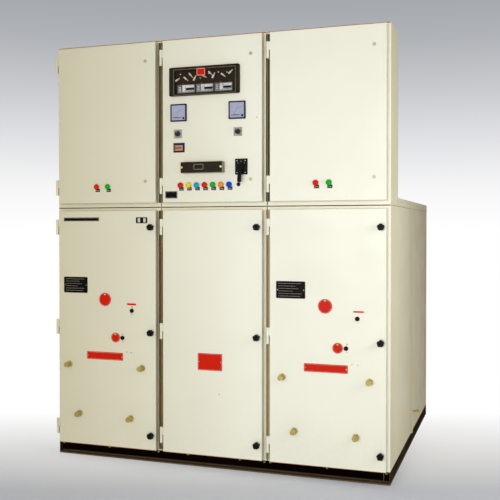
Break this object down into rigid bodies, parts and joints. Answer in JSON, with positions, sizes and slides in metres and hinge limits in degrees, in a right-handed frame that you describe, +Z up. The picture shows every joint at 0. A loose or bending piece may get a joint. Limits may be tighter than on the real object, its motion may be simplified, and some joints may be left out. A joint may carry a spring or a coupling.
{
  "type": "ring main unit",
  "caption": "Sheet steel switchgear cubicles side by side on a channel base, with hinged lower and upper doors, hand knobs, lamps, meters, relay and switches.",
  "frame": {"origin": "floor level, midway between the four foundation bolt holes", "axes": "+Z up, doors face -Y, +X to the right seen from the front"},
  "size_m": [2.006, 1.7872, 2.385],
  "materials": {
    "cream_paint": "semi-gloss powder coat",
    "black_paint": "satin paint",
    "brass": "passivated",
    "black_plastic": "moulded",
    "red_enamel": "gloss enamel",
    "bright_steel": "plated",
    "meter_case": "moulded",
    "lamp_lens": "translucent lens",
    "yellow_zinc": "yellow passivated zinc",
    "galvanised": "galvanised sheet"
  },
  "bodies": {
    "root": {"base_front_channel": "black_paint", "base_rear_channel": "black_paint", "base_side_channels": "black_paint", "base_cross_channels": "black_paint", "floor_plates": "galvanised", "left_wall": "cream_paint", "right_wall": "cream_paint", "inner_walls": "cream_paint", "seam_strips": "cream_paint", "front_stiles": "cream_paint", "front_rails": "cream_paint", "rear_covers": "cream_paint", "lid_trays": "cream_paint", "upper_side_walls": "cream_paint", "upper_back_walls": "cream_paint", "upper_roofs": "cream_paint", "upper_floors": "cream_paint", "hinge_leaves": "cream_paint", "earth_stud": "brass"},
    "left_lower_door": {"left_lower_door": "cream_paint", "left_key_locks": "black_plastic", "left_door_bolts": "yellow_zinc"},
    "left_upper_door": {"left_upper_door": "cream_paint", "left_door_locks": "bright_steel", "left_lamps": "lamp_lens"},
    "left_top_knob": {"left_top_knob": "black_plastic"},
    "left_middle_knob": {"left_middle_knob": "black_plastic"},
    "left_foot_knob": {"left_foot_knob": "black_plastic"},
    "centre_lower_door": {"centre_lower_door": "cream_paint"},
    "centre_upper_door": {"centre_upper_door": "cream_paint", "centre_door_locks": "bright_steel", "centre_lamps": "lamp_lens", "relay_case": "black_plastic", "test_block": "black_plastic", "control_switch": "black_plastic", "relay_units": "bright_steel", "selector_switches": "bright_steel", "panel_meters": "meter_case"},
    "centre_top_knob": {"centre_top_knob": "black_plastic"},
    "centre_middle_knob": {"centre_middle_knob": "black_plastic"},
    "centre_foot_knob": {"centre_foot_knob": "black_plastic"},
    "right_lower_door": {"right_lower_door": "cream_paint", "right_key_locks": "black_plastic", "right_door_bolts": "yellow_zinc"},
    "right_upper_door": {"right_upper_door": "cream_paint", "right_door_locks": "bright_steel", "right_lamps": "lamp_lens"},
    "right_top_knob": {"right_top_knob": "black_plastic"},
    "right_middle_knob": {"right_middle_knob": "black_plastic"},
    "right_foot_knob": {"right_foot_knob": "black_plastic"},
    "left_high_cover": {"left_high_cover": "red_enamel"},
    "left_low_cover": {"left_low_cover": "red_enamel"},
    "right_high_cover": {"right_high_cover": "red_enamel"},
    "right_low_cover": {"right_low_cover": "red_enamel"},
    "control_grip": {"control_grip": "black_plastic"},
    "left_selector_knob": {"left_selector_knob": "black_plastic"},
    "right_selector_knob": {"right_selector_knob": "black_plastic"}
  },
  "joints": [
    {"name": "left_lower_door_swing", "type": "hinge", "parent": "root", "child": "left_lower_door", "pos_m": [-0.965, -0.884, 0.076], "axis": [0, 0, -1], "range_deg": [0, 100]},
    {"name": "left_upper_door_swing", "type": "hinge", "parent": "root", "child": "left_upper_door", "pos_m": [-0.965, -0.884, 1.471], "axis": [0, 0, -1], "range_deg": [0, 100]},
    {"name": "left_top_knob_turn", "type": "hinge", "parent": "left_lower_door", "child": "left_top_knob", "pos_m": [-0.357, -0.89, 1.333], "axis": [0, 1, 0], "range_deg": [0, 360]},
    {"name": "left_middle_knob_turn", "type": "hinge", "parent": "left_lower_door", "child": "left_middle_knob", "pos_m": [-0.357, -0.89, 0.74], "axis": [0, 1, 0], "range_deg": [0, 360]},
    {"name": "left_foot_knob_turn", "type": "hinge", "parent": "left_lower_door", "child": "left_foot_knob", "pos_m": [-0.357, -0.89, 0.161], "axis": [0, 1, 0], "range_deg": [0, 360]},
    {"name": "centre_lower_door_swing", "type": "hinge", "parent": "root", "child": "centre_lower_door", "pos_m": [-0.3, -0.884, 0.076], "axis": [0, 0, -1], "range_deg": [0, 100]},
    {"name": "centre_upper_door_swing", "type": "hinge", "parent": "root", "child": "centre_upper_door", "pos_m": [-0.3, -0.884, 1.471], "axis": [0, 0, -1], "range_deg": [0, 100]},
    {"name": "centre_top_knob_turn", "type": "hinge", "parent": "centre_lower_door", "child": "centre_top_knob", "pos_m": [0.268, -0.89, 1.333], "axis": [0, 1, 0], "range_deg": [0, 360]},
    {"name": "centre_middle_knob_turn", "type": "hinge", "parent": "centre_lower_door", "child": "centre_middle_knob", "pos_m": [0.268, -0.89, 0.74], "axis": [0, 1, 0], "range_deg": [0, 360]},
    {"name": "centre_foot_knob_turn", "type": "hinge", "parent": "centre_lower_door", "child": "centre_foot_knob", "pos_m": [0.268, -0.89, 0.161], "axis": [0, 1, 0], "range_deg": [0, 360]},
    {"name": "right_lower_door_swing", "type": "hinge", "parent": "root", "child": "right_lower_door", "pos_m": [0.325, -0.884, 0.076], "axis": [0, 0, -1], "range_deg": [0, 100]},
    {"name": "right_upper_door_swing", "type": "hinge", "parent": "root", "child": "right_upper_door", "pos_m": [0.325, -0.884, 1.471], "axis": [0, 0, -1], "range_deg": [0, 100]},
    {"name": "right_top_knob_turn", "type": "hinge", "parent": "right_lower_door", "child": "right_top_knob", "pos_m": [0.933, -0.89, 1.333], "axis": [0, 1, 0], "range_deg": [0, 360]},
    {"name": "right_middle_knob_turn", "type": "hinge", "parent": "right_lower_door", "child": "right_middle_knob", "pos_m": [0.933, -0.89, 0.74], "axis": [0, 1, 0], "range_deg": [0, 360]},
    {"name": "right_foot_knob_turn", "type": "hinge", "parent": "right_lower_door", "child": "right_foot_knob", "pos_m": [0.933, -0.89, 0.161], "axis": [0, 1, 0], "range_deg": [0, 360]},
    {"name": "left_high_cover_swing", "type": "hinge", "parent": "left_lower_door", "child": "left_high_cover", "pos_m": [-0.649, -0.89, 0.949], "axis": [0, 1, 0], "range_deg": [0, 120]},
    {"name": "left_low_cover_swing", "type": "hinge", "parent": "left_lower_door", "child": "left_low_cover", "pos_m": [-0.582, -0.89, 0.723], "axis": [0, 1, 0], "range_deg": [0, 120]},
    {"name": "right_high_cover_swing", "type": "hinge", "parent": "right_lower_door", "child": "right_high_cover", "pos_m": [0.641, -0.89, 0.949], "axis": [0, 1, 0], "range_deg": [0, 120]},
    {"name": "right_low_cover_swing", "type": "hinge", "parent": "right_lower_door", "child": "right_low_cover", "pos_m": [0.708, -0.89, 0.723], "axis": [0, 1, 0], "range_deg": [0, 120]},
    {"name": "control_grip_turn", "type": "hinge", "parent": "centre_upper_door", "child": "control_grip", "pos_m": [0.179, -0.89, 1.66002], "axis": [0, 1, 0], "range_deg": [-45, 45]},
    {"name": "left_selector_turn", "type": "hinge", "parent": "centre_upper_door", "child": "left_selector_knob", "pos_m": [-0.193, -0.89, 1.84996], "axis": [0, 1, 0], "range_deg": [0, 270]},
    {"name": "right_selector_turn", "type": "hinge", "parent": "centre_upper_door", "child": "right_selector_knob", "pos_m": [0.159, -0.89, 1.84996], "axis": [0, 1, 0], "range_deg": [0, 270]}
  ]
}
